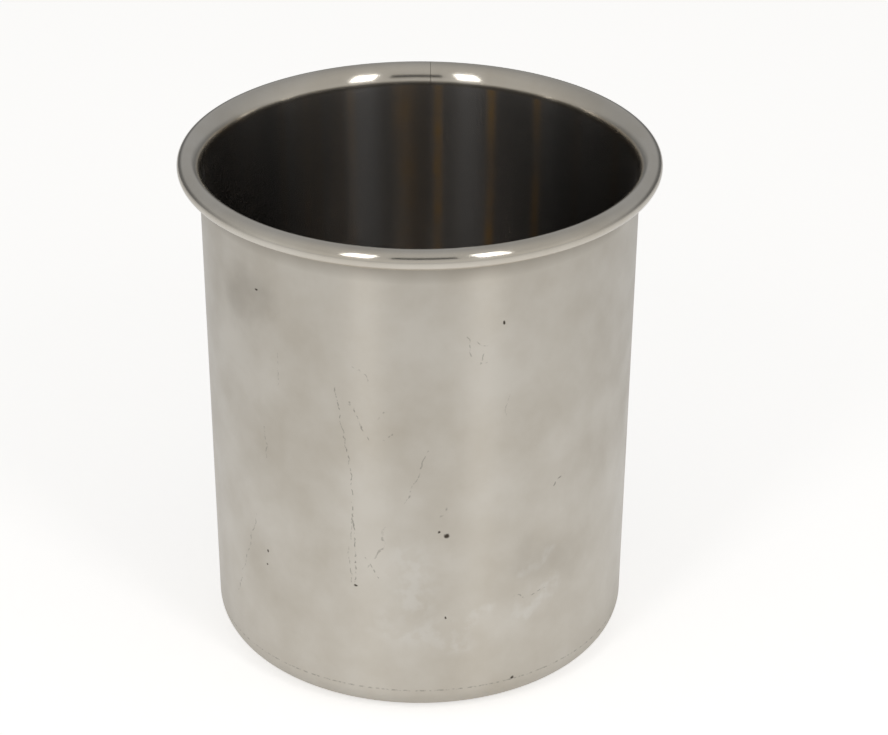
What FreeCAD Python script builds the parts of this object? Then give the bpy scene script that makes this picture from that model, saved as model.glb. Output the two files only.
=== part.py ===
import FreeCAD
import Part
import math
import os

# A deep drawn cup: one blank of sheet drawn up into a tall, slightly tapered wall, with a
# rounded foot and a rim that turns out in a wide lip and is then curled over into a bead.
# Millimetres, +Z up. The origin is the centre of the plane that the cup stands on.

gauge = 1.0               # thickness of the sheet, the same all along the section
overall_height = 132.0    # standing plane to the top of the bead
foot_diameter = 106.3     # outside of the wall, carried straight down to the standing plane
draft_deg = 0.65          # the wall leans out from vertical by this much
corner_radius = 7.5       # outside radius between the base and the wall
foot_width = 8.0          # flat ring that the cup stands on
panel_rise = 0.8          # the panel inside that ring is pressed up by this much
panel_slope_deg = 25.0    # slope of the step between ring and panel
panel_bend = 3.0          # mid-sheet radius of the two bends of that step
lip_radius = 5.3          # inside face, where the top of the wall turns outward
lip_lean_deg = 60.0       # the sheet leans out this far from vertical where the curl begins
bead_diameter = 5.0       # outside diameter of the curled rim
curl_deg = 265.0          # how far the sheet is wound round from there, to its cut edge

half_gauge = gauge / 2
draft = math.radians(draft_deg)
lip_lean = math.radians(lip_lean_deg)


def at(radius, height):
    """A point of the section, which lies in the XZ plane."""
    return FreeCAD.Vector(radius, 0, height)


def along(heading):
    """Unit vector of a heading, which is 0 outward from the axis and 90 degrees upward."""
    return at(math.cos(heading), math.sin(heading))


def across(heading):
    """Unit vector to the left of a heading: the side of the sheet that faces the inside."""
    return at(-math.sin(heading), math.cos(heading))


def bend(start, heading, turn, radius):
    """Stations (point, heading) at the start, middle and end of a bend of the mid-sheet line."""
    side = math.copysign(radius, turn)
    centre = start + across(heading) * side
    headings = [heading, heading + turn / 2, heading + turn]
    return [(centre - across(h) * side, h) for h in headings]


def mid_line(corners, radii):
    """Straight runs through the corners, each joined to the next by a tangent bend."""
    runs = []
    start = corners[0]
    for before, corner, after, radius in zip(corners, corners[1:], corners[2:], radii):
        arriving = math.atan2(corner.z - before.z, corner.x - before.x)
        leaving = math.atan2(after.z - corner.z, after.x - corner.x)
        turn = leaving - arriving
        setback = radius * math.tan(abs(turn) / 2)
        enter = corner - along(arriving) * setback
        runs.append([(start, arriving), (enter, arriving)])
        runs.append(bend(enter, arriving, turn, radius))
        start = corner + along(leaving) * setback
    runs.append([(start, leaving), (corners[-1], leaving)])
    return runs


def face_line(runs, offset):
    """Edges of one face of the sheet, a fixed offset to the left of the mid-sheet line."""
    edges = []
    for run in runs:
        points = [point + across(heading) * offset for point, heading in run]
        curve = Part.LineSegment(*points) if len(points) == 2 else Part.Arc(*points)
        edges.append(curve.toShape())
    return edges


def wall_radius(height):
    """Radius of the mid-sheet line of the wall at a height."""
    return foot_diameter / 2 + height * math.tan(draft) - half_gauge / math.cos(draft)


def base_corners():
    """Corners of the mid-sheet line from the axis to the foot of the wall."""
    foot = at(wall_radius(half_gauge), half_gauge)
    corner_setback = (corner_radius - half_gauge) * math.tan((math.pi / 2 - draft) / 2)
    bend_setback = panel_bend * math.tan(math.radians(panel_slope_deg) / 2)
    ring_inside = foot.x - corner_setback - foot_width - bend_setback
    panel_edge = ring_inside - panel_rise / math.tan(math.radians(panel_slope_deg))
    panel_height = half_gauge + panel_rise
    return [at(0, panel_height), at(panel_edge, panel_height), at(ring_inside, half_gauge), foot]


def wall_top():
    """Where the mid-sheet line leaves the straight wall for the lip."""
    bead_height = overall_height - bead_diameter / 2
    lip_centre_height = bead_height - (lip_radius - bead_diameter / 2) * math.sin(lip_lean)
    height = lip_centre_height + (lip_radius - half_gauge) * math.sin(draft)
    return at(wall_radius(height), height)


def cup_section():
    """Closed section of the whole sheet, from the axis to its cut edge inside the bead."""
    radii = [panel_bend, panel_bend, corner_radius - half_gauge]
    runs = mid_line(base_corners() + [wall_top()], radii)
    for turn, radius in ((lip_lean - draft, lip_radius), (math.radians(curl_deg), bead_diameter / 2)):
        start, heading = runs[-1][-1]
        runs.append(bend(start, heading, -turn, radius - half_gauge))
    inside = face_line(runs, half_gauge)
    outside = face_line(runs, -half_gauge)
    axis_edge = Part.makeLine(at(0, panel_rise), at(0, panel_rise + gauge))
    cut_edge = Part.makeLine(inside[-1].lastVertex().Point, outside[-1].lastVertex().Point)
    outline = Part.__sortEdges__([axis_edge] + inside + [cut_edge] + outside)
    return Part.Face(Part.Wire(outline))


def drawn_cup():
    """The section turned once round the axis."""
    return cup_section().revolve(FreeCAD.Vector(0, 0, 0), FreeCAD.Vector(0, 0, 1), 360)


os.makedirs("parts", exist_ok=True)
cup = drawn_cup()
cup.exportStep("parts/drawn_cup.step")
box = cup.optimalBoundingBox()
print(f"drawn_cup: {cup.ShapeType}, valid {cup.isValid()}, volume {cup.Volume:.0f} mm3")
print(f"rim diameter {box.XLength:.2f} mm, height {box.ZMin:.2f} to {box.ZMax:.2f} mm")
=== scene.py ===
import math
import bpy
from mathutils import Matrix, Quaternion, Vector


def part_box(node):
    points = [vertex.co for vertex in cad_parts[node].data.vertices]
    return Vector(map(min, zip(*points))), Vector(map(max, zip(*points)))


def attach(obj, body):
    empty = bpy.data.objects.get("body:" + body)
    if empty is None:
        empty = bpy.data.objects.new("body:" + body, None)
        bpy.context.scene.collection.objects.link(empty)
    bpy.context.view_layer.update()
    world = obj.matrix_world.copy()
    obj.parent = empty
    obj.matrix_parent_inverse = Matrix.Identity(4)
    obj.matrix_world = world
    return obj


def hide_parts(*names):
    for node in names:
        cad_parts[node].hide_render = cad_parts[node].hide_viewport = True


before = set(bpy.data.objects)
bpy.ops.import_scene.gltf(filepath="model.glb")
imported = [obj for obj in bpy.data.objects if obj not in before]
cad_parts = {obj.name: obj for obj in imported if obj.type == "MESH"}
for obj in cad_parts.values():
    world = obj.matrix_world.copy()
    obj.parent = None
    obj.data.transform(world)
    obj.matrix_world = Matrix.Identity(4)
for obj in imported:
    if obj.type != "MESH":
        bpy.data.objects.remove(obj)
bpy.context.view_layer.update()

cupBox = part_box("drawn_cup")

# metres; the height comes from the frame, so the cup always stands as tall as its solid
cupSize = {
    "height": cupBox[1][2],
    "gauge": 0.001,
    "footRadius": 0.05312,     # outside of the wall, carried down to the floor; 0.03 mm within the solid
    "draftDeg": 0.65,
    "cornerRadius": 0.0075,    # outside, between base and wall
    "footWidth": 0.008,        # flat ring the cup stands on
    "panelRise": 0.0008,       # base panel pressed up inside that ring
    "panelSlopeDeg": 25.0,
    "panelBend": 0.003,
    "lipRadius": 0.0053,       # inside face, where the top of the wall turns outward
    "lipLeanDeg": 60.0,        # the sheet leans out this far from vertical where the curl begins
    "beadDiameter": 0.005,
    "curlDeg": 265.0,
    "stepsAround": 256,
    "bendStepDeg": 6.0,
    "ringSpacing": 0.004,      # rings on straight runs, which keep the shading true
    "weldDistance": 0.000002,
    "sharpDeg": 50.0,          # only the cut edge of the curl is sharper than this
}
millimetre = 0.001


def linear(hexColour):
    channels = [int(hexColour[k:k + 2], 16) / 255 for k in (0, 2, 4)]
    return [c / 12.92 if c <= 0.04045 else ((c + 0.055) / 1.055) ** 2.4 for c in channels] + [1.0]


def addNode(tree, kind, links=None, **settings):
    # settings are the node's own; links holds a value or another node's output for each input
    node = tree.nodes.new(kind)
    for name, value in settings.items():
        setattr(node, name, value)
    for socket, value in (links or {}).items():
        if isinstance(value, bpy.types.NodeSocket):
            tree.links.new(value, node.inputs[socket])
        else:
            node.inputs[socket].default_value = value
    return node


def along(heading):
    return Vector((math.cos(heading), 0, math.sin(heading)))


def across(heading):
    return Vector((-math.sin(heading), 0, math.cos(heading)))


def bendPoints(size, start, heading, turn, radius):
    side = math.copysign(radius, turn)
    centre = start + across(heading) * side
    steps = max(2, math.ceil(abs(math.degrees(turn)) / size["bendStepDeg"]))
    return [centre - across(heading + turn * k / steps) * side for k in range(1, steps + 1)]


def runPoints(size, start, end):
    steps = max(1, round((end - start).length / size["ringSpacing"]))
    return [start.lerp(end, k / steps) for k in range(1, steps + 1)]


def wallRadius(size, height):
    draft = math.radians(size["draftDeg"])
    return size["footRadius"] + height * math.tan(draft) - size["gauge"] / 2 / math.cos(draft)


def baseCorners(size):
    half = size["gauge"] / 2
    draft = math.radians(size["draftDeg"])
    slope = math.radians(size["panelSlopeDeg"])
    foot = Vector((wallRadius(size, half), 0, half))
    cornerSetback = (size["cornerRadius"] - half) * math.tan((math.pi / 2 - draft) / 2)
    ringInside = foot.x - cornerSetback - size["footWidth"] - size["panelBend"] * math.tan(slope / 2)
    panelEdge = ringInside - size["panelRise"] / math.tan(slope)
    panelHeight = half + size["panelRise"]
    return [Vector((0, 0, panelHeight)), Vector((panelEdge, 0, panelHeight)),
            Vector((ringInside, 0, half)), foot]


def wallTop(size):
    beadHeight = size["height"] - size["beadDiameter"] / 2
    drop = (size["lipRadius"] - size["beadDiameter"] / 2) * math.sin(math.radians(size["lipLeanDeg"]))
    rise = (size["lipRadius"] - size["gauge"] / 2) * math.sin(math.radians(size["draftDeg"]))
    height = beadHeight - drop + rise
    return Vector((wallRadius(size, height), 0, height))


def sectionPoints(size):
    half = size["gauge"] / 2
    corners = baseCorners(size) + [wallTop(size)]
    radii = [size["panelBend"], size["panelBend"], size["cornerRadius"] - half]
    points = [corners[0]]
    for before, corner, after, radius in zip(corners, corners[1:], corners[2:], radii):
        arriving = math.atan2(corner.z - before.z, corner.x - before.x)
        leaving = math.atan2(after.z - corner.z, after.x - corner.x)
        enter = corner - along(arriving) * radius * math.tan(abs(leaving - arriving) / 2)
        points += runPoints(size, points[-1], enter)
        points += bendPoints(size, enter, arriving, leaving - arriving, radius)
    points += runPoints(size, points[-1], corners[-1])
    lipHeading = math.radians(90 - size["lipLeanDeg"])
    points += bendPoints(size, points[-1], leaving, lipHeading - leaving, size["lipRadius"] - half)
    beadRadius = size["beadDiameter"] / 2 - half
    points += bendPoints(size, points[-1], lipHeading, -math.radians(size["curlDeg"]), beadRadius)
    return points


def buildSheetTree():
    tree = bpy.data.node_groups.new("turnedSheet", "GeometryNodeTree")
    sockets = tree.interface
    sockets.new_socket("Section", in_out="INPUT", socket_type="NodeSocketGeometry")
    sockets.new_socket("Gauge", in_out="INPUT", socket_type="NodeSocketFloat")
    sockets.new_socket("Steps Around", in_out="INPUT", socket_type="NodeSocketInt")
    sockets.new_socket("Weld Distance", in_out="INPUT", socket_type="NodeSocketFloat")
    sockets.new_socket("Steel", in_out="INPUT", socket_type="NodeSocketMaterial")
    sockets.new_socket("Cup", in_out="OUTPUT", socket_type="NodeSocketGeometry")
    given = addNode(tree, "NodeGroupInput").outputs
    section = given["Section"]
    count = addNode(tree, "GeometryNodeAttributeDomainSize", {0: section},
                    component="CURVE").outputs["Point Count"]
    doubled = addNode(tree, "ShaderNodeMath", {0: count, 1: 2.0}, operation="MULTIPLY").outputs[0]
    columns = addNode(tree, "ShaderNodeMath", {0: given["Steps Around"], 1: 1.0}, operation="ADD").outputs[0]
    grid = addNode(tree, "GeometryNodeMeshGrid",
                   {"Vertices X": doubled, "Vertices Y": columns}).outputs["Mesh"]

    # each grid row is one point of the outline: up the inside face, then back down the outside face
    index = addNode(tree, "GeometryNodeInputIndex").outputs[0]
    share = addNode(tree, "ShaderNodeMath", {0: index, 1: columns}, operation="DIVIDE").outputs[0]
    row = addNode(tree, "ShaderNodeMath", {0: share}, operation="FLOOR").outputs[0]
    column = addNode(tree, "ShaderNodeMath", {0: index, 1: columns}, operation="MODULO").outputs[0]
    isOutside = addNode(tree, "ShaderNodeMath", {0: row, 1: count}, operation="GREATER_THAN").outputs[0]
    isJoin = addNode(tree, "ShaderNodeMath", {0: row, 1: count, 2: 0.5}, operation="COMPARE").outputs[0]
    outside = addNode(tree, "ShaderNodeMath", {0: isOutside, 1: isJoin}, operation="MAXIMUM").outputs[0]
    back = addNode(tree, "ShaderNodeMath", {0: doubled, 1: row}, operation="SUBTRACT").outputs[0]
    backRow = addNode(tree, "ShaderNodeMath", {0: back, 1: 1.0}, operation="SUBTRACT").outputs[0]
    pick = addNode(tree, "GeometryNodeSwitch", {0: outside, 1: row, 2: backRow},
                   input_type="FLOAT").outputs[0]

    # the sheet's faces lie half a gauge to each side of its middle line
    position = addNode(tree, "GeometryNodeInputPosition").outputs[0]
    tangent = addNode(tree, "GeometryNodeInputTangent").outputs[0]
    toInside = addNode(tree, "ShaderNodeVectorMath", {0: tangent, 1: (0, 1, 0)},
                       operation="CROSS_PRODUCT").outputs[0]
    middle = addNode(tree, "GeometryNodeSampleIndex", {0: section, 1: position, 2: pick},
                     data_type="FLOAT_VECTOR").outputs[0]
    normal = addNode(tree, "GeometryNodeSampleIndex", {0: section, 1: toInside, 2: pick},
                     data_type="FLOAT_VECTOR").outputs[0]
    side = addNode(tree, "ShaderNodeMath", {0: outside, 1: -1.0, 2: 0.5},
                   operation="MULTIPLY_ADD").outputs[0]
    shift = addNode(tree, "ShaderNodeMath", {0: side, 1: given["Gauge"]}, operation="MULTIPLY").outputs[0]
    offset = addNode(tree, "ShaderNodeVectorMath", {0: normal, "Scale": shift}, operation="SCALE").outputs[0]
    point = addNode(tree, "ShaderNodeVectorMath", {0: middle, 1: offset}, operation="ADD").outputs[0]

    inside = addNode(tree, "ShaderNodeMath", {0: 1.0, 1: outside}, operation="SUBTRACT").outputs[0]
    marked = addNode(tree, "GeometryNodeStoreNamedAttribute",
                     {"Geometry": grid, "Name": "insideFace", "Value": inside},
                     data_type="FLOAT", domain="POINT").outputs[0]
    turned = addNode(tree, "ShaderNodeMath", {0: column, 1: given["Steps Around"]},
                     operation="DIVIDE").outputs[0]
    angle = addNode(tree, "ShaderNodeMath", {0: turned, 1: math.tau}, operation="MULTIPLY").outputs[0]
    swung = addNode(tree, "ShaderNodeVectorRotate", {"Vector": point, "Angle": angle},
                    rotation_type="Z_AXIS").outputs[0]
    placed = addNode(tree, "GeometryNodeSetPosition", {"Geometry": marked, "Position": swung}).outputs[0]
    welded = addNode(tree, "GeometryNodeMergeByDistance",
                     {"Geometry": placed, "Distance": given["Weld Distance"]}).outputs[0]
    smooth = addNode(tree, "GeometryNodeSetShadeSmooth", {"Geometry": welded}).outputs[0]
    real = addNode(tree, "GeometryNodeRealizeInstances", {"Geometry": smooth}).outputs[0]
    steel = addNode(tree, "GeometryNodeSetMaterial",
                    {"Geometry": real, "Material": given["Steel"]}).outputs[0]
    addNode(tree, "NodeGroupOutput", {"Cup": steel})
    return tree


def setInputs(modifier, values):
    for item in modifier.node_group.interface.items_tree:
        if item.item_type == "SOCKET" and item.in_out == "INPUT" and item.name in values:
            modifier[item.identifier] = values[item.name]


def makeCup(size, material):
    points = sectionPoints(size)
    curve = bpy.data.curves.new("cupSection", "CURVE")
    curve.dimensions = "3D"
    spline = curve.splines.new("POLY")
    spline.points.add(len(points) - 1)
    for target, point in zip(spline.points, points):
        target.co = (*point, 1)
    section = bpy.data.objects.new("cupSection", curve)
    bpy.context.scene.collection.objects.link(section)
    modifier = section.modifiers.new("turnedSheet", "NODES")
    modifier.node_group = buildSheetTree()
    setInputs(modifier, {"Gauge": size["gauge"], "Steps Around": size["stepsAround"],
                         "Weld Distance": size["weldDistance"], "Steel": material})
    evaluated = section.evaluated_get(bpy.context.evaluated_depsgraph_get())
    mesh = bpy.data.meshes.new_from_object(evaluated)
    section.modifiers.remove(modifier)
    bpy.data.objects.remove(section)
    mesh.set_sharp_from_angle(angle=math.radians(size["sharpDeg"]))
    cup = bpy.data.objects.new("drawnCupShell", mesh)
    bpy.context.scene.collection.objects.link(cup)
    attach(cup, "root")
    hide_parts("drawn_cup")
    return cup


# the finish, in sRGB hex and real sizes in metres
steelFinish = {
    "colour": "dad5cc",
    "dulled": "cfc8bc",         # where handling has clouded the polish
    "scratched": "554e46",
    "scuffed": "e2dfd9",
    # grime of the smudges, and also the colour of the painted shade below the bead
    "grimeAndShade": "8e867a",
    # the steel inside is drawn darker than outside: painted shade in the cup's hollow
    "insideShadedColour": "bab8b6",
    "glintBrown": "cfa55c",          # painted reflections: the brown of the glints that run down inside
    "wallRoughness": 0.31,
    "insideRoughness": 0.2,     # the punch side is smoother
    "rimRoughness": 0.15,       # the rim is buffed bright
    "markRoughness": 0.4,
    "dulling": 0.03,
    "anisotropy": 0.94,
    "grainTurn": 0.25,          # a quarter turn, so that reflections run long up the wall
    "wallRadius": cupSize["footRadius"],
    "rimFrom": cupSize["height"] - 0.0052,
    "rimBlend": 0.0005,
    "lineSpacing": 0.0008,      # polishing lines; real grit is finer, drawn coarse enough to show
    "lineLength": 0.03,
    "lineDepth": 0.000012,
    "cloudSize": 0.02,
    "roughClouds": (0.3, 0.7),  # noise levels over which clouds change the roughness
    "dullClouds": (0.35, 0.75),   # and over which they change the colour
    "hairlineAt": 0.0028,       # to the right of the middle of the back
    "hairlineWidth": 0.0001,
    "hairlineStrength": 0.45,
}

# wear on the outside: degrees round from the front, positive to the right, and millimetres up the wall
wallWear = {
    "wander": 0.0006,           # how far a scratch strays from its line
    "wanderSize": 0.004,
    "noiseSwing": 0.25,         # noise strays about this far from its middle
    "breakSize": 0.0012,        # gaps along a scratch
    "breaks": (0.44, 0.62),     # noise levels from a gap to a full line
    "mottle": (0.42, 0.6),      # and from bare polish to a rubbed patch
    "bloomSize": 0.012,         # billows in the scuffs and smudges
    "creaseHeight": cupSize["cornerRadius"] - 0.0002,   # drawing line where the wall meets the corner
    "creaseWidth": 0.0002,
    "creaseStrength": 0.35,
    "underBead": 0.0052,        # painted shade below the bead, its dark underside reflected in the wall, with some grime, reaches this far down
    # how dark the painted shade below the bead is
    "underBeadShadeStrength": 0.7,
    "scratches": [              # points along it, width in mm, strength
        {"points": [(-22, 92), (-18, 70), (-17, 38)], "width": 0.5, "strength": 0.55},
        {"points": [(-18, 89), (-16, 85), (-13, 79)], "width": 0.5, "strength": 0.5},
        {"points": [(-11, 85), (-8, 88)], "width": 0.8, "strength": 0.45},
        {"points": [(-9, 80), (-7, 82)], "width": 0.6, "strength": 0.4},
        {"points": [(12, 107), (13, 101)], "width": 0.5, "strength": 0.4},
        {"points": [(14, 106), (17, 104), (15, 100), (17, 100)], "width": 0.5, "strength": 0.45},
        {"points": [(-39, 97), (-39, 88)], "width": 0.4, "strength": 0.45},
        {"points": [(-17, 99), (-15, 98), (-13, 95)], "width": 0.4, "strength": 0.4},
        {"points": [(2, 77), (-4, 61)], "width": 0.5, "strength": 0.4},
        {"points": [(5, 58), (7, 61)], "width": 0.9, "strength": 0.35},
        {"points": [(-18, 56), (-19, 45), (-18, 38)], "width": 0.4, "strength": 0.45},
        {"points": [(-9, 55), (-10, 49), (-14, 43)], "width": 0.8, "strength": 0.4},
        {"points": [(-15, 46), (-10, 40)], "width": 0.5, "strength": 0.45},
        {"points": [(-45, 75), (-44, 66)], "width": 0.7, "strength": 0.35},
        {"points": [(-49, 48), (-55, 33), (-61, 20)], "width": 0.5, "strength": 0.4},
        {"points": [(26, 32), (31, 31), (36, 32)], "width": 0.5, "strength": 0.5},
        {"points": [(38, 61), (41, 63)], "width": 0.6, "strength": 0.6},
        {"points": [(23, 90), (22, 85)], "width": 0.4, "strength": 0.3},
    ],
    "pits": [                   # place, radius in mm
        {"at": (7, 53), "radius": 0.8},
        {"at": (5, 54), "radius": 0.45},
        {"at": (21, 110), "radius": 0.35},
        {"at": (26, 8), "radius": 0.6},
        {"at": (-45, 39), "radius": 0.5},
        {"at": (-46, 35), "radius": 0.45},
        {"at": (-17, 37), "radius": 0.45},
        {"at": (-46, 112), "radius": 0.4},
        {"at": (7, 29), "radius": 0.4},
    ],
    "scuffs": [                 # rubbed patches, paler than the polish
        {"points": [(27, 27), (36, 32)], "width": 9.0, "strength": 0.6},
        {"points": [(30, 38), (37, 42)], "width": 5.0, "strength": 0.5},
        {"points": [(-3, 48), (-1, 34)], "width": 14.0, "strength": 0.5},
        {"points": [(-9, 26), (12, 22)], "width": 13.0, "strength": 0.5},
        {"points": [(13, 27), (17, 30)], "width": 6.0, "strength": 0.5},
    ],
    "smudges": [                # breathed-on, darker blooms
        {"points": [(-56, 107), (-44, 111)], "width": 17.0, "strength": 0.26},
        {"points": [(30, 42), (40, 38)], "width": 18.0, "strength": 0.14},
    ],
}

# painted reflections inside, brown glints in streaks: degrees round from the back, positive to the right
insideGlints = {
    "waver": 0.03,              # how far a streak strays, in radians
    "waverSize": 0.04,
    "smearScale": 1.6,          # faint smears of the same painted brown between the streaks
    "smearAcross": 2.2,
    "smears": (0.5, 0.7),
    "smearStrength": 0.25,
    "patches": (0.35, 0.6),     # the painted glints are fainter in places
    "thinnest": 0.35,
    "roughening": 0.4,
    "streaks": [                # width is to each side of the middle
        {"at": -3.0, "width": 6.0, "strength": 0.55},
        {"at": 6.0, "width": 2.5, "strength": 0.85},
        {"at": 21.5, "width": 2.5, "strength": 0.8},
        {"at": 36.0, "width": 2.5, "strength": 0.6},
        {"at": -19.0, "width": 2.5, "strength": 0.25},
        {"at": -33.0, "width": 2.5, "strength": 0.2},
    ],
}


def makeStroke():
    # how near the wall is to a straight stroke, 1 on its line and 0 beyond its half width
    tree = bpy.data.node_groups.new("stroke", "ShaderNodeTree")
    for name in ("Place", "From", "To"):
        tree.interface.new_socket(name, in_out="INPUT", socket_type="NodeSocketVector")
    tree.interface.new_socket("Half Width", in_out="INPUT", socket_type="NodeSocketFloat")
    tree.interface.new_socket("Mask", in_out="OUTPUT", socket_type="NodeSocketFloat")
    given = addNode(tree, "NodeGroupInput").outputs
    reach = addNode(tree, "ShaderNodeVectorMath", {0: given["To"], 1: given["From"]},
                    operation="SUBTRACT").outputs[0]
    offset = addNode(tree, "ShaderNodeVectorMath", {0: given["Place"], 1: given["From"]},
                     operation="SUBTRACT").outputs[0]
    shadow = addNode(tree, "ShaderNodeVectorMath", {0: offset, 1: reach},
                     operation="DOT_PRODUCT").outputs["Value"]
    square = addNode(tree, "ShaderNodeVectorMath", {0: reach, 1: reach},
                     operation="DOT_PRODUCT").outputs["Value"]
    share = addNode(tree, "ShaderNodeMath", {0: shadow, 1: square},
                    operation="DIVIDE", use_clamp=True).outputs[0]
    foot = addNode(tree, "ShaderNodeVectorMath", {0: reach, "Scale": share}, operation="SCALE").outputs[0]
    gap = addNode(tree, "ShaderNodeVectorMath", {0: offset, 1: foot}, operation="DISTANCE").outputs["Value"]
    mask = addNode(tree, "ShaderNodeMapRange",
                   {"Value": gap, "From Min": given["Half Width"], "From Max": 0.0},
                   interpolation_type="SMOOTHSTEP").outputs[0]
    addNode(tree, "NodeGroupOutput", {"Mask": mask})
    return tree


def onWall(finish, mark):
    # degrees round and millimetres up, as metres on the unrolled wall
    return (math.radians(mark[0]) * finish["wallRadius"], mark[1] * millimetre, 0)


def strokeMask(tree, group, finish, place, strokes):
    # the strongest of all the strokes at each place
    mask = 0.0
    for stroke in strokes:
        for start, end in zip(stroke["points"], stroke["points"][1:]):
            near = addNode(tree, "ShaderNodeGroup", {
                "Place": place, "From": onWall(finish, start), "To": onWall(finish, end),
                "Half Width": stroke["width"] * millimetre / 2}, node_tree=group).outputs[0]
            strength = addNode(tree, "ShaderNodeMath", {0: near, 1: stroke["strength"]},
                               operation="MULTIPLY").outputs[0]
            mask = addNode(tree, "ShaderNodeMath", {0: mask, 1: strength}, operation="MAXIMUM").outputs[0]
    return mask


def pitMask(tree, finish, place, pits):
    mask = 0.0
    for pit in pits:
        gap = addNode(tree, "ShaderNodeVectorMath", {0: place, 1: onWall(finish, pit["at"])},
                      operation="DISTANCE").outputs["Value"]
        radius = pit["radius"] * millimetre
        dot = addNode(tree, "ShaderNodeMapRange",
                      {"Value": gap, "From Min": radius, "From Max": radius / 2}).outputs[0]
        mask = addNode(tree, "ShaderNodeMath", {0: mask, 1: dot}, operation="MAXIMUM").outputs[0]
    return mask


# where the painted brown glints run down inside the cup
def streakMask(tree, place, glint):
    axes = addNode(tree, "ShaderNodeSeparateXYZ", {0: place}).outputs
    straight = addNode(tree, "ShaderNodeMath", {0: axes["X"], 1: axes["Y"]}, operation="ARCTAN2").outputs[0]
    waver = addNode(tree, "ShaderNodeTexNoise", {"Vector": place, "Scale": 1 / glint["waverSize"]}).outputs[0]
    angle = addNode(tree, "ShaderNodeMath", {0: waver, 1: glint["waver"], 2: straight},
                    operation="MULTIPLY_ADD").outputs[0]
    mask = 0.0
    for streak in glint["streaks"]:
        gap = addNode(tree, "ShaderNodeMath", {0: angle, 1: math.radians(streak["at"])},
                      operation="SUBTRACT").outputs[0]
        away = addNode(tree, "ShaderNodeMath", {0: gap}, operation="ABSOLUTE").outputs[0]
        band = addNode(tree, "ShaderNodeMapRange", {
            "Value": away, "From Min": math.radians(streak["width"]), "From Max": 0.0,
            "To Max": streak["strength"]}, interpolation_type="SMOOTHSTEP").outputs[0]
        mask = addNode(tree, "ShaderNodeMath", {0: mask, 1: band}, operation="MAXIMUM").outputs[0]
    return mask


def wearMasks(tree, finish, wear, place, height):
    # the wall unrolled: metres round in X, metres up in Y
    axes = addNode(tree, "ShaderNodeSeparateXYZ", {0: place}).outputs
    front = addNode(tree, "ShaderNodeMath", {0: axes["Y"], 1: -1.0}, operation="MULTIPLY").outputs[0]
    angle = addNode(tree, "ShaderNodeMath", {0: axes["X"], 1: front}, operation="ARCTAN2").outputs[0]
    arc = addNode(tree, "ShaderNodeMath", {0: angle, 1: finish["wallRadius"]},
                  operation="MULTIPLY").outputs[0]
    flat = addNode(tree, "ShaderNodeCombineXYZ", {"X": arc, "Y": height}).outputs[0]
    drift = addNode(tree, "ShaderNodeTexNoise",
                    {"Vector": flat, "Scale": 1 / wear["wanderSize"], "Detail": 3.0},
                    noise_dimensions="2D").outputs
    centred = addNode(tree, "ShaderNodeVectorMath", {0: drift["Color"], 1: (0.5, 0.5, 0.5)},
                      operation="SUBTRACT").outputs[0]
    stray = addNode(tree, "ShaderNodeVectorMath", {0: centred, 1: (1.0, 1.0, 0.0)},
                    operation="MULTIPLY").outputs[0]
    strayed = addNode(tree, "ShaderNodeVectorMath",
                      {0: stray, 1: (wear["wander"] / wear["noiseSwing"],) * 3, 2: flat},
                      operation="MULTIPLY_ADD").outputs[0]
    billows = addNode(tree, "ShaderNodeTexNoise",
                      {"Vector": flat, "Scale": 1 / wear["bloomSize"], "Detail": 4.0},
                      noise_dimensions="2D").outputs["Color"]
    spread = addNode(tree, "ShaderNodeVectorMath", {0: billows, 1: (0.5, 0.5, 0.5)},
                     operation="SUBTRACT").outputs[0]
    bloomed = addNode(tree, "ShaderNodeVectorMath", {0: spread, 1: (wear["bloomSize"],) * 3, 2: flat},
                      operation="MULTIPLY_ADD").outputs[0]
    even = addNode(tree, "ShaderNodeVectorMath", {0: bloomed, 1: (1.0, 1.0, 0.0)},
                   operation="MULTIPLY").outputs[0]
    group = makeStroke()

    gaps = addNode(tree, "ShaderNodeTexNoise",
                   {"Vector": flat, "Scale": 1 / wear["breakSize"], "Detail": 2.0},
                   noise_dimensions="2D").outputs[0]
    broken = addNode(tree, "ShaderNodeMapRange", {
        "Value": gaps, "From Min": wear["breaks"][0], "From Max": wear["breaks"][1]}).outputs[0]
    lines = strokeMask(tree, group, finish, strayed, wear["scratches"])
    level = addNode(tree, "ShaderNodeMath", {0: height, 1: wear["creaseHeight"], 2: wear["creaseWidth"]},
                    operation="COMPARE").outputs[0]
    crease = addNode(tree, "ShaderNodeMath", {0: level, 1: wear["creaseStrength"]},
                     operation="MULTIPLY").outputs[0]
    allLines = addNode(tree, "ShaderNodeMath", {0: lines, 1: crease}, operation="MAXIMUM").outputs[0]
    scratches = addNode(tree, "ShaderNodeMath", {0: allLines, 1: broken}, operation="MULTIPLY").outputs[0]
    pits = pitMask(tree, finish, strayed, wear["pits"])
    dark = addNode(tree, "ShaderNodeMath", {0: scratches, 1: pits}, operation="MAXIMUM").outputs[0]

    mottle = addNode(tree, "ShaderNodeMapRange", {
        "Value": drift[0], "From Min": wear["mottle"][0], "From Max": wear["mottle"][1]}).outputs[0]
    patches = strokeMask(tree, group, finish, even, wear["scuffs"])
    rubbed = addNode(tree, "ShaderNodeMath", {0: patches, 1: mottle}, operation="MULTIPLY").outputs[0]
    bloom = strokeMask(tree, group, finish, even, wear["smudges"])
    # painted shade below the bead, taken together with the smudges
    beadFoot = finish["rimFrom"] - wear["underBead"]
    under = addNode(tree, "ShaderNodeMapRange", {
        "Value": height, "From Min": beadFoot, "From Max": finish["rimFrom"],
        "To Max": wear["underBeadShadeStrength"]}).outputs[0]
    grimeAndShade = addNode(tree, "ShaderNodeMath", {0: bloom, 1: under}, operation="MAXIMUM").outputs[0]
    return {"dark": dark, "pale": rubbed, "grimeAndShade": grimeAndShade}


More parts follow.
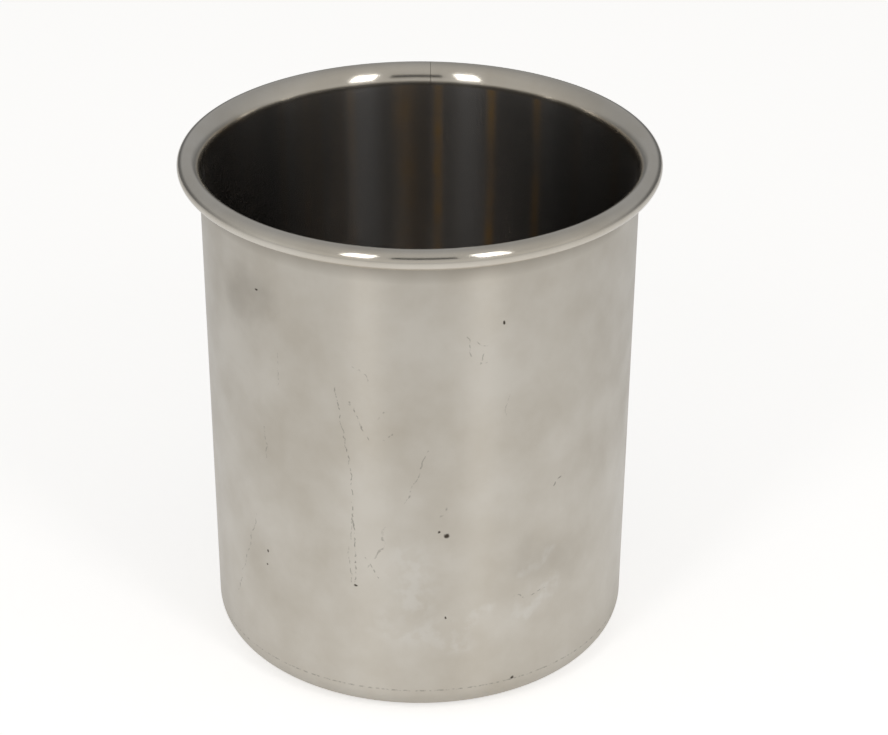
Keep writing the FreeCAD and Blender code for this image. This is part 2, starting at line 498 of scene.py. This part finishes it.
def makeSteel(finish, wear, inside):
    # 18/8 stainless sheet, satin polished as it spins: reflections keep their width but run long up the wall
    material = bpy.data.materials.new("satin stainless steel")
    material.use_nodes = True
    tree = material.node_tree
    tree.nodes.clear()
    place = addNode(tree, "ShaderNodeTexCoord").outputs["Object"]
    height = addNode(tree, "ShaderNodeSeparateXYZ", {0: place}).outputs["Z"]
    flat = addNode(tree, "ShaderNodeVectorMath", {0: place, 1: (1, 1, 0)}, operation="MULTIPLY").outputs[0]
    radius = addNode(tree, "ShaderNodeVectorMath", {0: flat}, operation="LENGTH").outputs["Value"]
    around = addNode(tree, "ShaderNodeVectorMath", {0: flat}, operation="NORMALIZE").outputs[0]
    insideFace = addNode(tree, "ShaderNodeAttribute", attribute_name="insideFace").outputs["Fac"]
    onRim = addNode(tree, "ShaderNodeMapRange", {
        "Value": height, "From Min": finish["rimFrom"],
        "From Max": finish["rimFrom"] + finish["rimBlend"]}).outputs[0]
    belowRim = addNode(tree, "ShaderNodeMath", {0: 1.0, 1: onRim}, operation="SUBTRACT").outputs[0]
    insideWall = addNode(tree, "ShaderNodeMath", {0: insideFace, 1: belowRim},
                         operation="MULTIPLY").outputs[0]
    outsideWall = addNode(tree, "ShaderNodeMath", {0: belowRim, 1: insideWall},
                          operation="SUBTRACT").outputs[0]

    # fine polishing lines, wound round the cup: quick changes up the wall, slow ones round it
    level = addNode(tree, "ShaderNodeMath", {0: height, 1: radius}, operation="SUBTRACT").outputs[0]
    aroundScale = finish["wallRadius"] / finish["lineLength"]
    wound = addNode(tree, "ShaderNodeVectorMath", {0: around, "Scale": aroundScale},
                    operation="SCALE").outputs[0]
    fineLevel = addNode(tree, "ShaderNodeMath", {0: level, 1: 1 / finish["lineSpacing"]},
                        operation="MULTIPLY").outputs[0]
    lift = addNode(tree, "ShaderNodeCombineXYZ", {"Z": fineLevel}).outputs[0]
    grain = addNode(tree, "ShaderNodeVectorMath", {0: wound, 1: lift}, operation="ADD").outputs[0]
    lines = addNode(tree, "ShaderNodeTexNoise", {"Vector": grain, "Scale": 1.0, "Detail": 3.0}).outputs[0]
    bump = addNode(tree, "ShaderNodeBump", {"Height": lines, "Distance": finish["lineDepth"]}).outputs[0]

    # soft clouds where hands and cloths have dulled the polish
    clouds = addNode(tree, "ShaderNodeTexNoise", {
        "Vector": place, "Scale": 1 / finish["cloudSize"], "Detail": 5.0, "Roughness": 0.6}).outputs[0]
    wall = addNode(tree, "ShaderNodeMapRange", {
        "Value": clouds, "From Min": finish["roughClouds"][0], "From Max": finish["roughClouds"][1],
        "To Min": finish["wallRoughness"] - finish["dulling"],
        "To Max": finish["wallRoughness"] + finish["dulling"]}).outputs[0]
    lined = addNode(tree, "ShaderNodeMix", {0: insideFace, 2: wall, 3: finish["insideRoughness"]}).outputs[0]
    smoothness = addNode(tree, "ShaderNodeMix", {0: onRim, 2: lined, 3: finish["rimRoughness"]}).outputs[0]

    # outside: clouded polish, then scuffs, grime with painted shade below the bead, and scratches over it
    masks = {}
    for name, mask in wearMasks(tree, finish, wear, place, height).items():
        masks[name] = addNode(tree, "ShaderNodeMath", {0: mask, 1: outsideWall},
                              operation="MULTIPLY").outputs[0]
    cloudy = addNode(tree, "ShaderNodeMapRange", {
        "Value": clouds, "From Min": finish["dullClouds"][0],
        "From Max": finish["dullClouds"][1]}).outputs[0]
    outer = addNode(tree, "ShaderNodeMix",
                    {0: cloudy, 6: linear(finish["colour"]), 7: linear(finish["dulled"])},
                    data_type="RGBA").outputs[2]
    rubbed = addNode(tree, "ShaderNodeMix", {0: masks["pale"], 6: outer, 7: linear(finish["scuffed"])},
                     data_type="RGBA").outputs[2]
    grimyAndShaded = addNode(tree, "ShaderNodeMix", {0: masks["grimeAndShade"], 6: rubbed, 7: linear(finish["grimeAndShade"])},
                    data_type="RGBA").outputs[2]
    worn = addNode(tree, "ShaderNodeMix", {0: masks["dark"], 6: grimyAndShaded, 7: linear(finish["scratched"])},
                   data_type="RGBA").outputs[2]

    # inside: darker steel as painted shade, under painted reflections, brown glints that run down in streaks
    streaky = streakMask(tree, place, inside)
    smearStretch = (inside["smearAcross"], inside["smearAcross"], 0.0)
    smearPlace = addNode(tree, "ShaderNodeVectorMath", {0: wound, 1: smearStretch},
                         operation="MULTIPLY").outputs[0]
    smears = addNode(tree, "ShaderNodeTexNoise", {
        "Vector": smearPlace, "Scale": inside["smearScale"], "Detail": 3.0}).outputs[0]
    faint = addNode(tree, "ShaderNodeMapRange", {
        "Value": smears, "From Min": inside["smears"][0], "From Max": inside["smears"][1],
        "To Max": inside["smearStrength"]}).outputs[0]
    patchy = addNode(tree, "ShaderNodeMapRange", {
        "Value": clouds, "From Min": inside["patches"][0], "From Max": inside["patches"][1],
        "To Min": inside["thinnest"]}).outputs[0]
    run = addNode(tree, "ShaderNodeMath", {0: streaky, 1: patchy}, operation="MULTIPLY").outputs[0]
    glint = addNode(tree, "ShaderNodeMath", {0: run, 1: faint}, operation="MAXIMUM").outputs[0]
    glinted = addNode(tree, "ShaderNodeMix",
                     {0: glint, 6: linear(finish["insideShadedColour"]), 7: linear(finish["glintBrown"])},
                     data_type="RGBA").outputs[2]
    colour = addNode(tree, "ShaderNodeMix", {0: insideWall, 6: worn, 7: glinted}, data_type="RGBA").outputs[2]
    glintInside = addNode(tree, "ShaderNodeMath", {0: run, 1: insideWall}, operation="MULTIPLY").outputs[0]
    rougher = addNode(tree, "ShaderNodeMath", {0: glintInside, 1: inside["roughening"]},
                      operation="MULTIPLY").outputs[0]
    marked = addNode(tree, "ShaderNodeMath", {0: masks["dark"], 1: rougher}, operation="MAXIMUM").outputs[0]
    roughness = addNode(tree, "ShaderNodeMix",
                        {0: marked, 2: smoothness, 3: finish["markRoughness"]}).outputs[0]

    # one hairline scratch runs out over the rim at the back
    axes = addNode(tree, "ShaderNodeSeparateXYZ", {0: place}).outputs
    nearLine = addNode(tree, "ShaderNodeMath",
                       {0: axes["X"], 1: finish["hairlineAt"], 2: finish["hairlineWidth"]},
                       operation="COMPARE").outputs[0]
    atBack = addNode(tree, "ShaderNodeMath", {0: axes["Y"], 1: 0.0}, operation="GREATER_THAN").outputs[0]
    line = addNode(tree, "ShaderNodeMath", {0: nearLine, 1: atBack}, operation="MULTIPLY").outputs[0]
    faded = addNode(tree, "ShaderNodeMath", {0: onRim, 1: finish["hairlineStrength"]},
                    operation="MULTIPLY").outputs[0]
    hairline = addNode(tree, "ShaderNodeMath", {0: line, 1: faded}, operation="MULTIPLY").outputs[0]
    finished = addNode(tree, "ShaderNodeMix", {0: hairline, 6: colour, 7: linear(finish["scratched"])},
                       data_type="RGBA").outputs[2]
    tangent = addNode(tree, "ShaderNodeTangent", direction_type="RADIAL", axis="Z").outputs[0]
    shader = addNode(tree, "ShaderNodeBsdfPrincipled", {
        "Base Color": finished, "Metallic": 1.0, "Roughness": roughness,
        "Anisotropic": finish["anisotropy"],
        "Anisotropic Rotation": finish["grainTurn"], "Tangent": tangent, "Normal": bump}).outputs[0]
    addNode(tree, "ShaderNodeOutputMaterial", {"Surface": shader})
    return material


studio = {
    "floorColour": "e9e8e7",
    "floorSize": 6.0,
    "paperNear": 0.1,           # the paper mirrors fully up to here
    "paperReach": 0.8,          # the metal mirrors it no further out than this, then the room
    "shadeFrom": 0.03,          # the cup keeps light off the floor close round its foot
    "shadeTo": 0.07,
    "floorWhite": 0.56,         # added where the camera looks at the floor
    "floorGloss": 0.37,         # added where the metal reflects the floor
    "glowColour": "ffffff",
    "frontLight": "fffdf8",     # the room, a little warmer in front of the cup than behind
    "backLight": "f4f5f6",
    "behind": (-0.3, 0.6),      # from front to back of the room, as a direction's Y
    "roomLight": 0.52,
    "frontLowLight": 0.62,      # brighter low down in front of the cup
    "frontLowTo": 0.4,
    "backShare": 0.82,          # the room behind is a little dimmer
    "horizonLight": 0.16,       # and dark low down, beyond the paper
    "horizon": (0.05, 0.25),
    "lampDistance": 0.45,
    "lampLowDeg": 20.0,
    "lampHighDeg": 46.0,
    "lampRadiance": 5.2,
    "lamps": [
        {"name": "softboxLeft", "azimuthDeg": -28.2, "widthDeg": 12.5},
        {"name": "softboxRight", "azimuthDeg": 33.4, "widthDeg": 13.5},
    ],
    "cardDistance": 0.5,        # a black card between the lamps gives the dark line on the rim
    "cardColour": "191919",
    "card": {"azimuthDeg": 2.0, "lowDeg": 24.0, "highDeg": 40.0, "widthDeg": 30.0},
}


def makeFloor(look):
    half = look["floorSize"] / 2
    mesh = bpy.data.meshes.new("floor")
    corners = [(-half, -half, 0), (half, -half, 0), (half, half, 0), (-half, half, 0)]
    mesh.from_pydata(corners, [], [(0, 1, 2, 3)])
    material = bpy.data.materials.new("matt white paper")
    material.use_nodes = True
    tree = material.node_tree
    tree.nodes.clear()
    paper = addNode(tree, "ShaderNodeBsdfDiffuse", {"Color": linear(look["floorColour"])}).outputs[0]
    ray = addNode(tree, "ShaderNodeLightPath").outputs
    seen = addNode(tree, "ShaderNodeMath", {0: ray["Is Camera Ray"], 1: look["floorWhite"]},
                   operation="MULTIPLY").outputs[0]
    place = addNode(tree, "ShaderNodeTexCoord").outputs["Object"]
    out = addNode(tree, "ShaderNodeVectorMath", {0: place}, operation="LENGTH").outputs["Value"]
    nearby = addNode(tree, "ShaderNodeMapRange", {
        "Value": out, "From Min": look["paperReach"], "From Max": look["paperNear"],
        "To Max": look["floorGloss"]}).outputs[0]
    shaded = addNode(tree, "ShaderNodeMapRange", {
        "Value": out, "From Min": look["shadeFrom"], "From Max": look["shadeTo"]}).outputs[0]
    paleRing = addNode(tree, "ShaderNodeMath", {0: nearby, 1: shaded}, operation="MULTIPLY").outputs[0]
    mirrored = addNode(tree, "ShaderNodeMath", {0: ray["Is Glossy Ray"], 1: paleRing, 2: seen},
                       operation="MULTIPLY_ADD").outputs[0]
    glow = addNode(tree, "ShaderNodeEmission",
                   {"Color": linear(look["glowColour"]), "Strength": mirrored}).outputs[0]
    both = addNode(tree, "ShaderNodeAddShader", {0: paper, 1: glow}).outputs[0]
    beyond = addNode(tree, "ShaderNodeMath", {0: out, 1: look["paperReach"]},
                     operation="GREATER_THAN").outputs[0]
    gone = addNode(tree, "ShaderNodeMath", {0: beyond, 1: ray["Is Glossy Ray"]},
                   operation="MULTIPLY").outputs[0]
    clear = addNode(tree, "ShaderNodeBsdfTransparent").outputs[0]
    sheet = addNode(tree, "ShaderNodeMixShader", {0: gone, 1: both, 2: clear}).outputs[0]
    addNode(tree, "ShaderNodeOutputMaterial", {"Surface": sheet})
    mesh.materials.append(material)
    floor = bpy.data.objects.new("floor", mesh)
    bpy.context.scene.collection.objects.link(floor)


def makeWorld(look):
    world = bpy.data.worlds.new("room")
    world.use_nodes = True
    tree = world.node_tree
    tree.nodes.clear()
    toward = addNode(tree, "ShaderNodeTexCoord").outputs["Generated"]
    axes = addNode(tree, "ShaderNodeSeparateXYZ", {0: toward}).outputs
    behind = addNode(tree, "ShaderNodeMapRange", {
        "Value": axes["Y"], "From Min": look["behind"][0], "From Max": look["behind"][1]}).outputs[0]
    tint = addNode(tree, "ShaderNodeMix",
                   {0: behind, 6: linear(look["frontLight"]), 7: linear(look["backLight"])},
                   data_type="RGBA").outputs[2]
    above = addNode(tree, "ShaderNodeMapRange", {
        "Value": axes["Z"], "From Min": look["horizon"][0], "From Max": look["horizon"][1],
        "To Min": look["horizonLight"], "To Max": look["roomLight"] * look["backShare"]}).outputs[0]
    ahead = addNode(tree, "ShaderNodeMapRange", {
        "Value": axes["Z"], "From Max": look["frontLowTo"], "To Min": look["frontLowLight"],
        "To Max": look["roomLight"]}).outputs[0]
    lit = addNode(tree, "ShaderNodeMix", {0: behind, 2: ahead, 3: above}).outputs[0]
    room = addNode(tree, "ShaderNodeBackground", {"Color": tint, "Strength": lit}).outputs[0]
    white = addNode(tree, "ShaderNodeBackground",
                    {"Color": linear(look["glowColour"]), "Strength": 1.0}).outputs[0]
    ray = addNode(tree, "ShaderNodeLightPath").outputs["Is Camera Ray"]
    sky = addNode(tree, "ShaderNodeMixShader", {0: ray, 1: room, 2: white}).outputs[0]
    addNode(tree, "ShaderNodeOutputWorld", {"Surface": sky})
    bpy.context.scene.world = world


def makeCard(look, centre):
    card = look["card"]
    half = look["cardDistance"] * math.tan(math.radians(card["widthDeg"] / 2))
    low = centre + look["cardDistance"] * math.tan(math.radians(card["lowDeg"]))
    high = centre + look["cardDistance"] * math.tan(math.radians(card["highDeg"]))
    mesh = bpy.data.meshes.new("blackCard")
    corners = [(-half, low), (half, low), (half, high), (-half, high)]
    turn = Matrix.Rotation(math.radians(card["azimuthDeg"]), 3, "Z")
    mesh.from_pydata([turn @ Vector((x, -look["cardDistance"], z)) for x, z in corners], [], [(0, 1, 2, 3)])
    material = bpy.data.materials.new("black card")
    material.use_nodes = True
    shader = material.node_tree.nodes["Principled BSDF"]
    shader.inputs["Base Color"].default_value = linear(look["cardColour"])
    mesh.materials.append(material)
    holder = bpy.data.objects.new("blackCard", mesh)
    holder.visible_camera = False
    bpy.context.scene.collection.objects.link(holder)


def makeLamp(look, lamp, centre):
    distance = look["lampDistance"]
    azimuth = math.radians(lamp["azimuthDeg"])
    outward = Vector((math.sin(azimuth), -math.cos(azimuth), 0))
    low = distance * math.tan(math.radians(look["lampLowDeg"]))
    high = distance * math.tan(math.radians(look["lampHighDeg"]))
    light = bpy.data.lights.new(lamp["name"], "AREA")
    light.shape = "RECTANGLE"
    light.size = 2 * distance * math.tan(math.radians(lamp["widthDeg"] / 2))
    light.size_y = high - low
    light.energy = look["lampRadiance"] * math.pi * light.size * light.size_y
    holder = bpy.data.objects.new(lamp["name"], light)
    holder.location = outward * distance + Vector((0, 0, centre + (low + high) / 2))
    holder.rotation_mode = "QUATERNION"
    holder.rotation_quaternion = outward.to_track_quat("Z", "Y")
    holder.visible_camera = False
    bpy.context.scene.collection.objects.link(holder)


cameraView = {
    "elevationDeg": 28.45,
    "distance": 0.7224,
    "pivotHeight": 0.0656,
    "aim": (0.0062, 0.0, 0.0709),
    "rollDeg": -0.26,
    "lens": 113.5,
    "sensorWidth": 36.0,
}


def makeCamera(view):
    elevation = math.radians(view["elevationDeg"])
    data = bpy.data.cameras.new("camera")
    data.lens = view["lens"]
    data.sensor_width = view["sensorWidth"]
    camera = bpy.data.objects.new("camera", data)
    position = Vector((0, -math.cos(elevation), math.sin(elevation))) * view["distance"]
    camera.location = position + Vector((0, 0, view["pivotHeight"]))
    forward = (Vector(view["aim"]) - camera.location).normalized()
    facing = forward.to_track_quat("-Z", "Y")
    camera.rotation_mode = "QUATERNION"
    camera.rotation_quaternion = Quaternion(forward, math.radians(view["rollDeg"])) @ facing
    bpy.context.scene.collection.objects.link(camera)
    bpy.context.scene.camera = camera


makeCup(cupSize, makeSteel(steelFinish, wallWear, insideGlints))
print("cup made")
makeFloor(studio)
makeWorld(studio)
for lampSettings in studio["lamps"]:
    makeLamp(studio, lampSettings, cupSize["height"])
makeCard(studio, cupSize["height"])
makeCamera(cameraView)
bpy.context.scene.view_settings.view_transform = "Standard"
print("floor, light and camera made")
